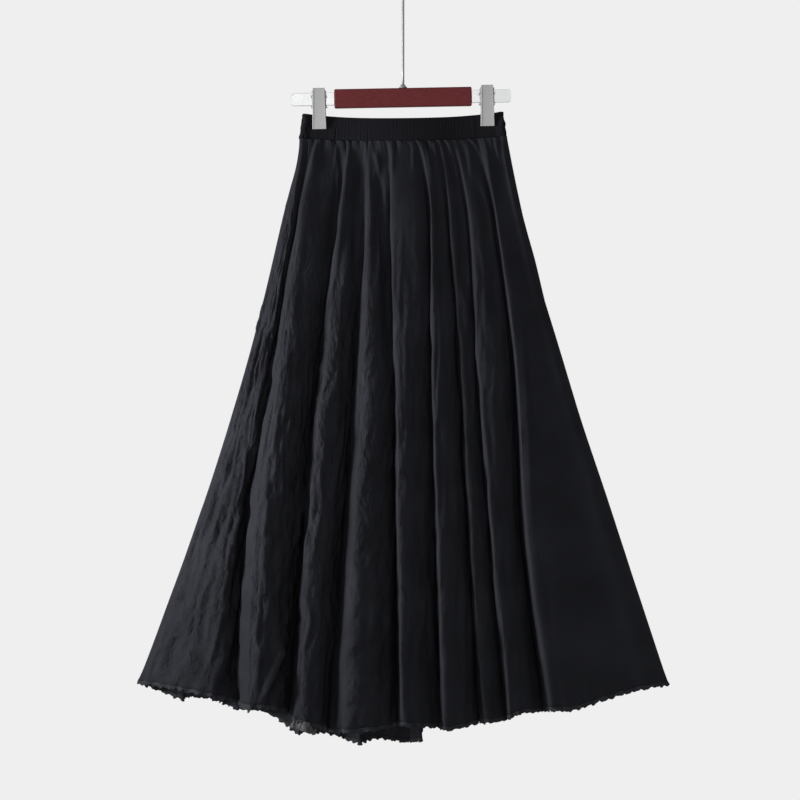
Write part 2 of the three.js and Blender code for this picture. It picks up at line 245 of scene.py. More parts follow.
def thinCloth(name, look):
    material, tree, shader = newMaterial(name)
    uv = tree.nodes.new("ShaderNodeUVMap")
    uv.uv_map = "cloth"
    metres = addNode(tree, "ShaderNodeMapping", Scale=(uvSpan, uvSpan, 1))
    tree.links.new(uv.outputs["UV"], metres.inputs["Vector"])
    mottle = addNode(tree, "ShaderNodeTexNoise", Scale=look["mottle"], Detail=4)
    grain = addNode(tree, "ShaderNodeTexNoise", Scale=look["grain"], Detail=1)
    for noise in (mottle, grain):
        tree.links.new(metres.outputs["Vector"], noise.inputs["Vector"])
    across, along = look["crumple"]
    dented = addNode(tree, "ShaderNodeMapping", Scale=(across * uvSpan, along * uvSpan, 1))
    tree.links.new(uv.outputs["UV"], dented.inputs["Vector"])
    crumple = addNode(tree, "ShaderNodeTexNoise", Scale=1, Detail=4, Distortion=0.4)
    tree.links.new(dented.outputs["Vector"], crumple.inputs["Vector"])
    color = colorBetween(tree, mottle.outputs["Fac"], look["dark"], look["light"])
    tree.links.new(color, shader.inputs["Base Color"])
    rough = roughBetween(tree, mottle.outputs["Fac"], *look["rough"])
    tree.links.new(rough, shader.inputs["Roughness"])
    shader.inputs["Specular IOR Level"].default_value = look["gloss"]

    fine = grain.outputs["Fac"]
    if "stitches" in look:       # threads wound over the edge
        threads = addNode(tree, "ShaderNodeTexWave", Scale=look["stitches"], Distortion=0.6)
        tree.links.new(metres.outputs["Vector"], threads.inputs["Vector"])
        fine = threads.outputs["Fac"]
    amount = tree.nodes.new("ShaderNodeAttribute")
    amount.attribute_name = "crumple"
    dents = multiplied(tree, multiplied(tree, crumple.outputs["Fac"], amount.outputs["Fac"]),
                       look["crumpleDeep"])
    grains = multiplied(tree, fine, look["grainDeep"])
    height = tree.nodes.new("ShaderNodeMath")        # in metres
    tree.links.new(dents, height.inputs[0])
    tree.links.new(grains, height.inputs[1])
    bumpFrom(tree, height.outputs["Value"], 1, 1, shader)

    through = addNode(tree, "ShaderNodeBsdfTranslucent", Color=(*look["throughColor"], 1))
    mix = tree.nodes.new("ShaderNodeMixShader")
    mix.inputs["Fac"].default_value = look["through"]
    tree.links.new(shader.outputs["BSDF"], mix.inputs[1])
    tree.links.new(through.outputs["BSDF"], mix.inputs[2])
    tree.links.new(mix.outputs["Shader"], tree.nodes["Material Output"].inputs["Surface"])
    return material


def varnishedWood(look):
    material, tree, shader = newMaterial("varnishedWood")
    coords = tree.nodes.new("ShaderNodeTexCoord")
    along = addNode(tree, "ShaderNodeMapping", Scale=look["stretch"])
    tree.links.new(coords.outputs["Object"], along.inputs["Vector"])
    grain = addNode(tree, "ShaderNodeTexNoise", Scale=look["rings"], Detail=6)
    tree.links.new(along.outputs["Vector"], grain.inputs["Vector"])
    fac = grain.outputs["Fac"]
    color = colorBetween(tree, fac, look["dark"], look["light"])
    tree.links.new(color, shader.inputs["Base Color"])
    tree.links.new(roughBetween(tree, fac, *look["rough"]), shader.inputs["Roughness"])
    shader.inputs["Specular IOR Level"].default_value = look["gloss"]
    bumpFrom(tree, fac, *look["bump"], shader)
    return material


def flecked(name, color, fleckScale, roughLow, roughHigh, **fixed):
    material, tree, shader = newMaterial(name)
    fac = objectNoise(tree, fleckScale, 2)
    low = tuple(0.92 * part for part in color)
    tree.links.new(colorBetween(tree, fac, low, color), shader.inputs["Base Color"])
    tree.links.new(roughBetween(tree, fac, roughLow, roughHigh), shader.inputs["Roughness"])
    for socket, value in fixed.items():
        shader.inputs[socket.replace("_", " ")].default_value = value
    bumpFrom(tree, fac, *fleckBump, shader)
    return material


crepe = thinCloth("blackCrepe", clothLook)
casing = thinCloth("doubledCrepeShaded", casingShadedLook)
overlock = thinCloth("overlockThreadPaintedLight", threadPaintedLightLook)
hemLightPatchThread = thinCloth("hemLightPatchThread", hemLightPatchLook)
wood = varnishedWood(woodLook)
clipPlastic = flecked("greyClipPlastic", plasticLook["color"], plasticLook["fleck"], 0.36, 0.48)
platedWire = flecked("platedWire", wireLook["color"], wireLook["scratch"], 0.5, 0.65, Metallic=1)
clearPlastic = flecked("clearPlastic", clearLook["color"], clearLook["cloud"], 0.01, 0.05,
                       Transmission_Weight=1, IOR=clearLook["bend"])
print("materials made")


# the skirt's cut, in millimetres: one tube with a crest or a trough in each row of the tables

skirt = {
    "columnPitch": 10.5,        # as in the solids
    "finer": 4,                 # columns here for each of theirs
    "waistRows": 18,
    "middleRows": 90,
    "hemRows": 6,
    "waistZone": 0.1,
    "hemZone": 0.035,
    "shell": 0.9,
    "fall": 850,                # length of the cloth, for the sizes of its relief
    "seamGap": 0.3,
    "sideGap": 0.02,            # at the side seams, so that no light shows through them
    "sideDip": (0.5, 0.25),     # how deep a side seam draws in, and over how many columns
    "hemTall": 5,
    "hemSwell": 0.3,
    "gatherDeep": 1.5,
    "thigh": 0.25,              # above this share of the length the cloth leaves the waist's line
    "calf": 0.75,
    "turnsRound": 35.5,         # from this fold line on, the back's cloth shows at the front
}

edges = {
    # height at the sides, and the sag between them
    "bandTop": (-226.5, 10.5),
    "waistSeam": (-264, 7),
    "slope": 0.01,
}

sections = {
    # seam, thigh, knee, calf, hem
    "share": (0, 0.15, 0.4, 0.7, 1),
    "left": (-155, -181, -229, -303, -392),
    "right": (155, 181, 236, 315, 397),
    "open": (0, 0.17, 0.43, 0.72, 1),
}

frontFolds = (
    # across at the seam, thigh, knee, calf and hem, depth at the hem, length, sharpness
    (-136, -165, -196, -243, -257, 24, 835, 0.9),
    (-130, -155, -183, -213, -225, 96, 831, 0.0),
    (-85, -100, -133, -155, -178, 32, 850, 0.9),
    (-76, -92, -116, -138, -154, 100, 852, 0.0),
    (-61, -63, -79, -97, -123, 44, 872, 0.9),
    (-52, -51, -60, -77, -90, 98, 864, 0.0),
    (-22, -25, -21, -18, -19, 40, 864, 0.95),
    (-13, -16, -10, -6, -2, 104, 856, 0.0),
    (28, 33, 33, 39, 46, 38, 865, 0.95),
    (37, 43, 44, 51, 59, 102, 860, 0.0),
    (52, 63, 76, 86, 101, 46, 861, 0.8),
    (64, 71, 85, 99, 116, 88, 856, 0.0),
    (70, 88, 100, 117, 137, 52, 864, 0.9),
    (85, 101, 113, 131, 155, 90, 859, 0.0),
    (109, 127, 151, 162, 184, 34, 862, 0.8),
    (124, 141, 167, 182, 215, 88, 853, 0.0),
    (139, 161, 207, 270, 330, 50, 828, 0.0),
    (145, 172, 225, 299, 367, 42, 821, 0.0),
)

backFolds = (
    # across at the hem, depth there, length, sharpness
    (397, 0, 824, 0.0),
    (352, 58, 818, 0.0),
    (310, 34, 821, 0.5),
    (264, 94, 832, 0.0),
    (222, 48, 838, 0.7),
    (172, 106, 852, 0.0),
    (128, 56, 862, 0.6),
    (72, 112, 870, 0.0),
    (28, 60, 912, 0.8),
    (-16, 112, 917, 0.0),
    (-64, 58, 911, 0.7),
    (-116, 106, 905, 0.0),
    (-158, 54, 900, 0.8),
    (-208, 96, 874, 0.0),
    (-248, 46, 858, 0.6),
    (-298, 78, 846, 0.0),
    (-336, 32, 840, 0.5),
    (-364, 40, 830, 0.0),
    (-392, 0, 812, 0.0),
)

leftStrip = ((-146, -168, -202, -246, -280, 52, 821, 0.0),)

ridges = {
    # the lit side of a fold narrows by this share of its width, and how sharp its crest is,
    # for the three folds on the left and for the others
    "steep": (0.3, 0.66),
    "crisp": (0.12, 0.45),
    "others": 6,                # the first fold line of the others, and where they end
    "end": 16,
}

band = {
    "half": 155,
    "wall": 2,
    "taper": 0.965,
    "bow": 10,
    "bowReach": 110,
    "gape": 1.5,
    "gapeFrom": 143,
    "gapeTo": 151,
    "seamTurn": 14,
    "clipPlace": 126,
    "pressed": (13, 19),        # the ribs come back this far from a clip's middle
    "loops": (140, 148),        # the casing crumples from here on, beyond the clips
    "columns": 600,
    "rows": 16,
    "ribPitch": 5.2,
    "rib": 0.5,
    "roll": 0.45,               # the casing's folded edges turn in by this
    "crumple": 1.6,
}


def softStep(value, low, high):
    share = np.clip((value - low) / (high - low), 0, 1)
    return share * share * (3 - 2 * share)


lumps = {}


def softNoise(x, y, seed):      # between -1 and 1, one lump to each unit of x and of y
    size = 97
    if seed not in lumps:
        lumps[seed] = np.random.default_rng(seed).uniform(-1, 1, (size, size))
    table = lumps[seed]
    x, y = np.broadcast_arrays(x, y)
    left, low = np.floor(x).astype(int), np.floor(y).astype(int)
    u, v = softStep(x - left, 0, 1), softStep(y - low, 0, 1)
    corner = [[table[(low + j) % size, (left + i) % size] for i in (0, 1)] for j in (0, 1)]
    below = corner[0][0] * (1 - u) + corner[0][1] * u
    above = corner[1][0] * (1 - u) + corner[1][1] * u
    return below * (1 - v) + above * v


def splineAt(points, place, closed, sharp=None):    # centripetal, place counts the points
    if closed:
        line = np.concatenate([points[..., -1:, :], points, points[..., :2, :]], axis=-2)
    else:
        start = 2 * points[..., :1, :] - points[..., 1:2, :]
        end = 2 * points[..., -1:, :] - points[..., -2:-1, :]
        line = np.concatenate([start, points, end], axis=-2)
    place = np.clip(place, 0, line.shape[-2] - 3 - 1e-9)
    k = np.floor(place).astype(int)
    u = (place - k)[:, None]
    p0, p1, p2, p3 = (line[..., k + j, :] for j in range(4))
    d0, d1, d2 = (
        np.sqrt(np.maximum(np.linalg.norm(b - a, axis=-1, keepdims=True), 1e-6))
        for a, b in ((p0, p1), (p1, p2), (p2, p3))
    )
    leave = ((p1 - p0) / d0 - (p2 - p0) / (d0 + d1) + (p2 - p1) / d1) * d1
    reach = ((p2 - p1) / d1 - (p3 - p1) / (d1 + d2) + (p3 - p2) / d2) * d1
    if sharp is not None:        # a sharp trough draws the cloth straight to it
        turns = np.concatenate([sharp, sharp[:1]])
        leave = leave * (1 - turns[k])[:, None]
        reach = reach * (1 - turns[k + 1])[:, None]
    u2, u3 = u * u, u * u * u
    return (
        (2 * u3 - 3 * u2 + 1) * p1 + (u3 - 2 * u2 + u) * leave
        + (3 * u2 - 2 * u3) * p2 + (u3 - u2) * reach
    )


def unit(vectors):
    return vectors / np.maximum(np.linalg.norm(vectors, axis=-1, keepdims=True), 1e-9)


def edgeHeight(name, x):
    side, sag = edges[name]
    return side - sag * np.maximum(0, 1 - (x / band["half"]) ** 2) + edges["slope"] * x


def bandDepth(x):               # from the middle plane to the waistband's outer face
    across = np.abs(x)
    bow = band["bow"] * (1 - np.clip(across / band["bowReach"], 0, 1) ** 2) ** 2
    gape = band["gape"] * softStep(across, band["gapeFrom"], band["gapeTo"])
    return skirt["seamGap"] / 2 + band["wall"] + bow + gape


def waistRing():                # points round the waistband's outer line, and the way it runs
    half = band["half"]
    x = np.linspace(-1, 1, 31) * (half - bandDepth(half))
    front = np.stack([x, -bandDepth(x), 0 * x], axis=-1)
    ends = [np.array([[side * half, 0, 0]]) for side in (-1, 1)]
    ring = np.concatenate([ends[0], front, ends[1], front * (-1, -1, 1)])
    fine = splineAt(ring, np.linspace(0, len(ring), 6001)[:-1], True)
    run = np.linalg.norm(np.roll(fine, -1, axis=0) - fine, axis=-1)
    share = np.concatenate([[0], np.cumsum(run)[:-1]]) / run.sum()
    way = unit(np.roll(fine, -1, axis=0) - np.roll(fine, 1, axis=0))
    return share, fine, way, run.sum()


waistShare, waistPoints, waistWays, waistLength = waistRing()


def waistAt(share):             # the outer line's point, its way along and its outward direction
    share = share % 1
    point, way = (
        np.stack([np.interp(share, waistShare, part[:, k], period=1) for k in range(3)], axis=-1)
        for part in (waistPoints, waistWays)
    )
    return point, way, unit(np.stack([way[:, 1], -way[:, 0], 0 * share], axis=-1))


def foldControls(row, facing):
    *across, out, drop, _ = row
    hem = across[-1]
    side = np.array(sections["right" if hem > 0 else "left"], float)
    x = np.array(across, float) if len(across) == 5 else hem * side / side[-1]
    close = 0 if out == 0 else bandDepth(x) + skirt["gatherDeep"]
    opened = np.array(sections["open"])
    y = facing * (close * (1 - opened) + out * opened)
    length = drop - skirt["hemTall"] - skirt["seamGap"]
    z = edgeHeight("waistSeam", x) - length * np.array(sections["share"])
    return np.stack([x, y, z], axis=-1)


foldRows = [(row, -1) for row in frontFolds] + [(row, 1) for row in backFolds]
foldRows += [(row, -1) for row in leftStrip]
foldLines = np.stack([foldControls(row, facing) for row, facing in foldRows])
for lineNumber in range(0, ridges["end"], 2):
    narrowed = foldLines[lineNumber + 1, :, 0] - foldLines[lineNumber, :, 0]
    foldLines[lineNumber, :, 0] += ridges["steep"][lineNumber >= ridges["others"]] * narrowed
foldSharp = np.array([row[-1] for row, _ in foldRows])
foldSharp[1:ridges["others"]:2], foldSharp[ridges["others"] + 1:ridges["end"]:2] = ridges["crisp"]
rightEdge = len(frontFolds)


def rowShares():                # rows close together at the waist and the hem
    top, low = skirt["waistZone"], 1 - skirt["hemZone"]
    return np.concatenate([
        np.linspace(0, top, skirt["waistRows"] + 1)[:-1],
        np.linspace(top, low, skirt["middleRows"] + 1)[:-1],
        np.linspace(low, 1, skirt["hemRows"] + 1),
    ])


def lineAt(down):               # the fold lines' points, one row of them for each share
    place = down * (foldLines.shape[1] - 1)
    return np.swapaxes(splineAt(foldLines, place, False), 0, 1)


def placeColumns():             # as in the solids: closer where the cloth runs deeper
    calf = lineAt(np.array([skirt["calf"]]))[0]
    run = np.linalg.norm(np.roll(calf, -1, axis=0) - calf, axis=-1)
    steps = np.maximum(2, np.round(run / skirt["columnPitch"])).astype(int)
    coarse = np.concatenate([[0], np.cumsum(steps)])
    frontCount, total = coarse[rightEdge], coarse[-1]
    place = np.arange(total * skirt["finer"]) / skirt["finer"]
    turn = band["seamTurn"] / waistLength
    fold = np.interp(place, coarse, np.arange(len(coarse)))
    waist = np.interp(place, [0, frontCount, total], [turn, 0.5, 1 + turn])
    return place, fold, waist, frontCount * skirt["finer"]


down = rowShares()
column, fold, waist, frontColumns = placeColumns()
columnsInAll = len(column)


# folds waver a little on their way down: each line has its own noise

waver = {
    # wave length down the line, across and deep
    "long": (85, 3.0, 2.4),
    "short": (34, 1.4, 1.8),
    "seed": 11,
    "calmLines": (4, 18),       # these folds hang straighter
    "calm": 0.35,
}

fullness = {
    # the side of a fold that turns from the light swells by this share of its width, how near
    # to its trough, and where down the cloth: on the left three folds and on the others
    "share": (0.21, 0.16),
    "late": (0.8, 1.3),
    "grown": ((0.1, 0.6), (0.02, 0.25)),
    "lines": (*range(1, 15, 2), *range(21, 36, 2)),
}

pleats = {
    # near the waist each fold stands out crisply along its line
    "deep": 4.6,
    "crisp": 4,
    "full": (0.03, 0.12),
    "gone": (0.16, 0.46),
}


def smoothTube():               # the outer face before gathers and creases
    lines = lineAt(down)
    number = np.arange(lines.shape[1])[None, :]
    loose = np.where(foldLines[:, -1, 1] == 0, 0.0, 1.0)
    loose[slice(*waver["calmLines"])] = waver["calm"]
    grown = softStep(down, 0.04, 0.3)[:, None] * loose[None, :]
    for part, (wave, across, deep) in enumerate((waver["long"], waver["short"])):
        height = lines[..., 2] / wave
        seed = waver["seed"] + 2 * part
        lines[..., 0] += grown * across * softNoise(number * 7.3, height, seed)
        lines[..., 1] += grown * deep * softNoise(number * 5.1, height, seed + 1)
    tube = splineAt(lines, fold, True, foldSharp)

    k = np.floor(fold).astype(int)
    wide = np.linalg.norm(np.roll(lines, -1, axis=1) - lines, axis=-1)[:, k]
    onLeft = k < ridges["others"]
    late = np.where(onLeft, *fullness["late"])
    share = np.where(onLeft, *fullness["share"])
    swell = share * np.isin(k, fullness["lines"]) * np.sin(np.pi * (fold - k) ** late)
    grown = np.where(onLeft, *(softStep(down, *zone)[:, None] for zone in fullness["grown"]))
    swell = wide * swell[None, :] * grown
    tube += swell[..., None] * outwardOf(tube)

    point, _, out = waistAt(waist)
    seam = point + skirt["gatherDeep"] * out
    seam[:, 2] = edgeHeight("waistSeam", seam[:, 0])
    gathered = (np.maximum(0, 1 - down / skirt["thigh"]) ** 2)[:, None, None]
    return tube * (1 - gathered) + seam * gathered


def outwardOf(points):
    along = np.roll(points, -1, axis=1) - np.roll(points, 1, axis=1)
    fall = np.gradient(points, axis=0)
    return unit(np.cross(fall, along))


gathers = {
    "pitch": 4,                 # of the solids' columns to each gather
    "stray": 1.8,               # how far a gather strays from its even place
    "deep": 3.2,
    "narrow": 0.8,              # the valleys between gathers are narrower than the gathers
    "grown": 0.012,
    "shortest": 0.07,
    "longest": 0.3,
    "finePitch": 1.45,
    "fineDeep": 0.6,
    "fineReach": 0.05,
    "calm": 12,
}


def gatherRelief(place, reach):
    stray = gathers["stray"] * softNoise(place / 5.3, 3.7, 21)
    strength = 0.55 + 0.45 * softNoise(place / 3.1, 8.2, 22)
    long = gathers["shortest"] + (gathers["longest"] - gathers["shortest"]) * (
        0.5 + 0.5 * softNoise(place / gathers["pitch"], 1.3, 23)) ** 1.6
    fade = np.maximum(0, 1 - reach / long) ** 1.4
    wave = 2 * np.abs(np.sin((place + stray) * math.pi / gathers["pitch"])) ** gathers["narrow"] - 1.5
    fine = np.cos(place * 2 * math.pi / gathers["finePitch"] + 4 * softNoise(place / 2, 0.5, 24))
    fineFade = np.maximum(0, 1 - reach / gathers["fineReach"]) ** 1.5
    calm = 1 - (waistAt(waist)[0][:, 0] / band["half"]) ** gathers["calm"]
    relief = gathers["deep"] * strength * wave * fade + gathers["fineDeep"] * fine * fineFade
    crest = (0.5 - 0.5 * np.cos(np.pi * fold)) ** pleats["crisp"]        # 1 on each odd line
    lively = 0.75 + 0.25 * softNoise(fold / 1.7, 6.4, 25)
    zone = softStep(reach, *pleats["full"]) * (1 - softStep(reach, *pleats["gone"]))
    relief *= 0.5 + 0.5 * softStep(reach, 0, gathers["grown"])
    return calm * (relief + pleats["deep"] * zone * lively * (crest - 0.25))


frontCreases = (
    # from x, z to x, z, width and height: gathers that run down from the waist seam
    (-131, -268, -139, -330, 5, 2.6),
    (-98, -268, -104, -318, 3, 1.8),
    (-79, -268, -90, -345, 4, 2.2),
    (-55, -268, -58, -312, 3, 1.8),
    (-39, -270, -42, -352, 6, 2.0),
    (-18, -270, -17, -330, 4, 2.2),
    (-97, -284, -100, -434, 4, 2.6),
    (-46, -277, -30, -344, 3.4, 2.2),
    (-12, -270, -10, -287, 2.4, -2.0),
    (13, -270, 15, -320, 3, 1.6),
    (34, -270, 45, -350, 4.5, 2.6),
    (36, -269, 38, -284, 2.4, -2.0),
    (46, -269, 50, -300, 3, 1.6),
    (67, -268, 82, -340, 4, 2.0),
    (94, -267, 103, -330, 5, 2.2),
    (119, -265, 134, -335, 4.5, 2.2),
    (137, -264, 143, -300, 3, 1.6),
    # the dark gaps beside them
    (-91, -300, -106, -441, 5, -4.6),
    (-65, -285, -70, -530, 6, -4.6),
    (-41, -290, -33, -450, 10, -6.5),
    (-25, -430, -21, -640, 6, -4.5),
    (51, -300, 62, -553, 7, -5.5),
    (69, -277, 84, -360, 4, -3.4),
    (84, -350, 96, -510, 6, -5.5),
    (113, -330, 131, -449, 6, -4.6),
    (130, -440, 141, -560, 6, -4.6),
    # the strip beside the side seam
    (-225, -789, -249, -847, 5, 2.6),
    (-249, -847, -263, -891, 5, 3.0),
    (-263, -891, -284, -949, 6, 2.6),
    (-284, -949, -291, -1021, 6, 2.4),
    (-236, -700, -222, -745, 5, -2.0),
    (-276, -900, -262, -930, 5, -2.4),
    (-300, -985, -282, -1010, 6, -2.6),
    # the turned flap low on the left
    (-168, -996, -209, -1094, 6, 12.0),
    (-156, -1000, -194, -1100, 8, -9.0),
    # puckers beside the second ridge
    (-141, -862, -122, -880, 4, -2.4),
    (-134, -884, -112, -902, 4, -2.4),
    (-158, -968, -136, -986, 4, -2.4),
    (-118, -760, -106, -790, 4, -1.6),
    # drag lines on the wide light fold
    (-82, -1019, -31, -990, 4.6, 2.2),
    (-84, -1031, -33, -1002, 4.6, -2.2),
    (-50, -1044, -22, -1027, 4.4, 2.2),
    (-50, -1055, -24, -1039, 4.4, -2.2),
    (-44, -1070, -26, -1061, 4.4, 1.9),
    (-62, -825, -48, -845, 4, -1.4),
    (-54, -910, -44, -950, 5, -1.6),
    (-70, -700, -40, -735, 7, -1.4),
    # the right panel's soft strip
    (211, -643, 235, -760, 17, -3.6),
    (235, -760, 272, -905, 18, -4.2),
    (272, -905, 308, -1036, 16, -3.6),
    (240, -700, 300, -950, 16, 1.8),
    (190, -560, 205, -640, 12, -2.0),
    (262, -860, 300, -842, 8, 1.2),
    (286, -968, 330, -955, 8, -1.4),
    # right of the middle
    (60, -720, 66, -760, 5, -1.6),
    (104, -930, 122, -958, 5, -1.6),
    (140, -1010, 168, -1030, 6, -1.8),
    (18, -620, 24, -668, 6, -1.4),
    (78, -560, 90, -600, 6, -1.6),
)

backCreases = (
    # gathers first, then creases like the front's
    (-112, -268, -124, -340, 5, 2.2),
    (-70, -268, -78, -330, 4, 2.0),
    (-30, -270, -34, -350, 4, 2.2),
    (8, -270, 9, -320, 4, 1.8),
    (52, -268, 60, -345, 5, 2.2),
    (96, -267, 108, -335, 4, 2.0),
    (134, -265, 146, -320, 4, 1.8),
    (-230, -760, -252, -830, 6, 2.4),
    (-252, -830, -262, -900, 6, 2.4),
    (-120, -820, -100, -842, 5, -2.0),
    (-112, -900, -86, -918, 5, -2.0),
    (-30, -960, 14, -932, 6, 1.8),
    (-30, -972, 14, -944, 6, -1.8),
    (64, -1040, 100, -1020, 5, 1.8),
    (150, -870, 176, -892, 6, -2.0),
    (214, -640, 240, -780, 14, -2.4),
    (240, -780, 280, -930, 16, -3.0),
    (190, -1000, 150, -1060, 8, 3.0),
    (40, -700, 60, -730, 6, -1.6),
    (-170, -980, -200, -1060, 8, 3.0),
)


creaseSides = (0.65, 1.4)       # widths of a crease's two sides: the steeper one faces the light


def creaseRelief(points, facing, table):
    x, z = points[..., 0], points[..., 2]
    relief = np.zeros(x.shape)
    for x0, z0, x1, z1, width, height in table:
        way = np.array([x1 - x0, z1 - z0], float)
        long = np.linalg.norm(way)
        way /= long
        along = (x - x0) * way[0] + (z - z0) * way[1]
        across = (x - x0) * way[1] - (z - z0) * way[0]
        start = softStep(along, -0.3 * width, 0.35 * long)
        end = softStep(-along, -long - width, -0.6 * long)
        bend = 0.5 * width * softNoise(along / (0.4 * long), x0 * 0.31, 41)
        off = (across + bend) / width
        left, right = creaseSides if height > 0 else creaseSides[::-1]
        off = np.where(off > 0, off / left, off / right)
        relief += height * start * end * np.exp(-off ** 2)
    return relief * facing


crinkles = (
    # place, fold lines between which they lie, share of the length, size across and down,
    # height, slant across to each unit down, seed
    ("left strip", 36.1, 38.2, 0.32, 1.0, 11, 74, 6.4, 0.25, 51),
    ("left strip, small", 36.1, 38.2, 0.12, 1.0, 6, 30, 2.6, -0.3, 52),
    ("left flank", 0.0, 1.2, 0.3, 1.0, 8, 40, 4.0, 0.2, 53),
    ("flap", 1.0, 2.2, 0.4, 1.0, 10, 46, 3.6, -0.5, 54),
    ("flap, small", 1.0, 2.2, 0.45, 1.0, 6, 22, 2.6, 0.6, 55),
    ("second ridge", 2.2, 4.2, 0.3, 1.0, 11, 36, 3.0, 0.5, 56),
    ("third ridge", 5.1, 6.0, 0.35, 1.0, 12, 34, 2.2, 1.1, 57),
    ("middle", 6.2, 14.0, 0.2, 1.0, 15, 60, 1.8, 0.3, 58),
    ("middle, small", 6.2, 14.0, 0.3, 1.0, 7, 34, 1.0, 0.5, 62),
    ("right panel", 14.0, 18.5, 0.15, 1.0, 46, 150, 1.8, 0.4, 59),
    ("back", 18.5, 35.6, 0.15, 1.0, 15, 50, 4.6, 0.4, 60),
    ("everywhere", 0.0, 6.2, 0.1, 1.0, 31, 150, 2.6, 0.2, 61),
)


def crumpleNoise(x, y, seed):   # like softNoise, but with sharp crests and valleys
    return np.abs(softNoise(x, y, seed)) - np.abs(softNoise(x + 0.5, y + 0.3, seed + 40))


def crinkleRelief(run, fall):
    relief = np.zeros((len(down), columnsInAll))
    for _, first, last, top, low, wide, tall, height, slant, seed in crinkles:
        across = softStep(fold, first - 0.2, first + 0.2) * softStep(-fold, -last - 0.2, 0.2 - last)
        if last > len(foldLines):        # on past the tube's first column
            across = np.maximum(across, softStep(-fold, len(foldLines) - last - 0.2, 0))
        reach = softStep(down, top - 0.02, top + 0.2) * softStep(-down, -low - 0.01, -low + 0.03)
        y = fall / tall
        x = run / wide + slant * y + 0.6 * softNoise(run / wide / 2.3, y / 1.7, seed + 20)
        relief += height * across[None, :] * reach[:, None] * crumpleNoise(x, y, seed)
    return relief


hemWave = {
    "pitch": 27,
    "deep": 2.6,
    "reach": 15,
    "lift": 0.9,
    "dropFrom": 0.86,           # share of the length
    # across, and how far the hem drops there below the solids' hem
    "frontDrops": ((-390, 5), (-330, 6), (-282, 8), (-234, 7), (-190, 3), (-150, 6), (-70, 5),
                   (0, 1), (66, 6), (140, 3), (172, -8), (212, -6), (250, 3), (300, 1), (397, 1)),
    "backDrops": ((-390, 6), (-282, 7), (-200, 6), (-66, 5), (-42, -1), (0, 4), (30, -1), (60, 0)),
}


def clothTube():
    smooth = smoothTube()
    out = outwardOf(smooth)
    step = np.linalg.norm(np.roll(smooth, -1, axis=1) - smooth, axis=-1)
    calfRow = np.argmin(np.abs(down - skirt["calf"]))
    run = np.cumsum(step[calfRow])[None, :]
    fall = (skirt["hemTall"] + down * skirt["fall"])[:, None]
    relief = gatherRelief(column[None, :], down[:, None])

    front = (np.arange(columnsInAll) < frontColumns) | (fold > skirt["turnsRound"])
    facing = np.clip(-1.6 * out[..., 1] + 0.1, 0, 1) * front[None, :]
    relief += creaseRelief(smooth, facing, frontCreases)
    facing = np.clip(1.6 * out[..., 1] + 0.1, 0, 1) * ~front[None, :]
    relief += creaseRelief(smooth, facing, backCreases)
    relief += crinkleRelief(run, fall)

    seams = np.array([[0], [frontColumns], [columnsInAll]]) / skirt["finer"]
    fromSeam = np.abs(column[None, :] - seams).min(axis=0)
    dip, wide = skirt["sideDip"]
    relief -= dip * np.exp(-(fromSeam / wide) ** 2)[None, :]

    hemRun = np.cumsum(step[-1])
    phase = 2 * math.pi * hemRun / hemWave["pitch"] + 4.2 * softNoise(hemRun / 60, 0.5, 61)
    lively = 0.6 + 0.4 * softNoise(hemRun / 45, 4.5, 62)
    low = np.exp(-(1 - down) * skirt["fall"] / hemWave["reach"])[:, None]
    relief += hemWave["deep"] * lively * np.sin(phase) * low
    cloth = smooth + relief[..., None] * out
    cloth[..., 2] += hemWave["lift"] * lively * np.cos(phase) * low
    drops = [np.interp(smooth[..., 0], *zip(*hemWave[f"{side}Drops"])) for side in ("front", "back")]
    cloth[..., 2] -= np.where(front[None, :], *drops) * softStep(down, hemWave["dropFrom"], 1)[:, None]
    return cloth


cloth = clothTube()
print(f"skirt worked out, {len(down)} rows by {columnsInAll} columns")


crumpled = {
    # fold lines, and how much of the finest creases the cloth has there
    "lines": (0, 5, 8, 18, 20, 35, 38),
    "amounts": (1, 0.8, 0.4, 0.14, 0.6, 0.8, 1),
    "grown": (0.15, 0.6),
}


def crumpleAmount():
    across = np.interp(fold, crumpled["lines"], crumpled["amounts"])
    return across[None, :] * (0.2 + 0.8 * softStep(down, *crumpled["grown"]))[:, None]


# pieces from grids of points, and the ways that every piece is finished

def linkPiece(name, bm, material, nodes=()):
    mesh = bpy.data.meshes.new(name)
    bm.to_mesh(mesh)
    bm.free()
    mesh.materials.append(material)
    mesh.polygons.foreach_set("use_smooth", [True] * len(mesh.polygons))
    ob = bpy.data.objects.new(name, mesh)
    bpy.context.collection.objects.link(ob)
    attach(ob, "root")
    if nodes:
        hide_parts(*nodes)
    return ob


def clothGrid(name, points, material, node, thick, creased=None):    # rows run down
    rows, columns = points.shape[0] - 1, points.shape[1] - 1
    bm = bmesh.new()
    bmesh.ops.create_grid(bm, x_segments=columns, y_segments=rows, size=1)
    middle = len(down) // 2 if rows + 1 == len(down) else rows // 2
    run = np.linalg.norm(np.diff(points[middle], axis=0), axis=-1)
    across = np.concatenate([[0], np.cumsum(run)]) * mm / uvSpan
    run = np.linalg.norm(np.diff(points[:, columns // 2], axis=0), axis=-1)
    along = 1 - np.concatenate([[0], np.cumsum(run)]) * mm / uvSpan
    uv = bm.loops.layers.uv.new("cloth")
    amount = bm.verts.layers.float.new("crumple")
    for vert in bm.verts:
        k = round((vert.co.x + 1) / 2 * columns)
        row = round((1 - vert.co.y) / 2 * rows)
        vert.co = points[row, k] * mm
        vert[amount] = 0 if creased is None else creased[row, k]
        for loop in vert.link_loops:
            loop[uv].uv = (across[k], along[row])
    ob = linkPiece(name, bm, material, [node] if node else ())
    shell = ob.modifiers.new("thickness", "SOLIDIFY")
    shell.thickness = thick * mm
    shell.offset = -1
    return ob


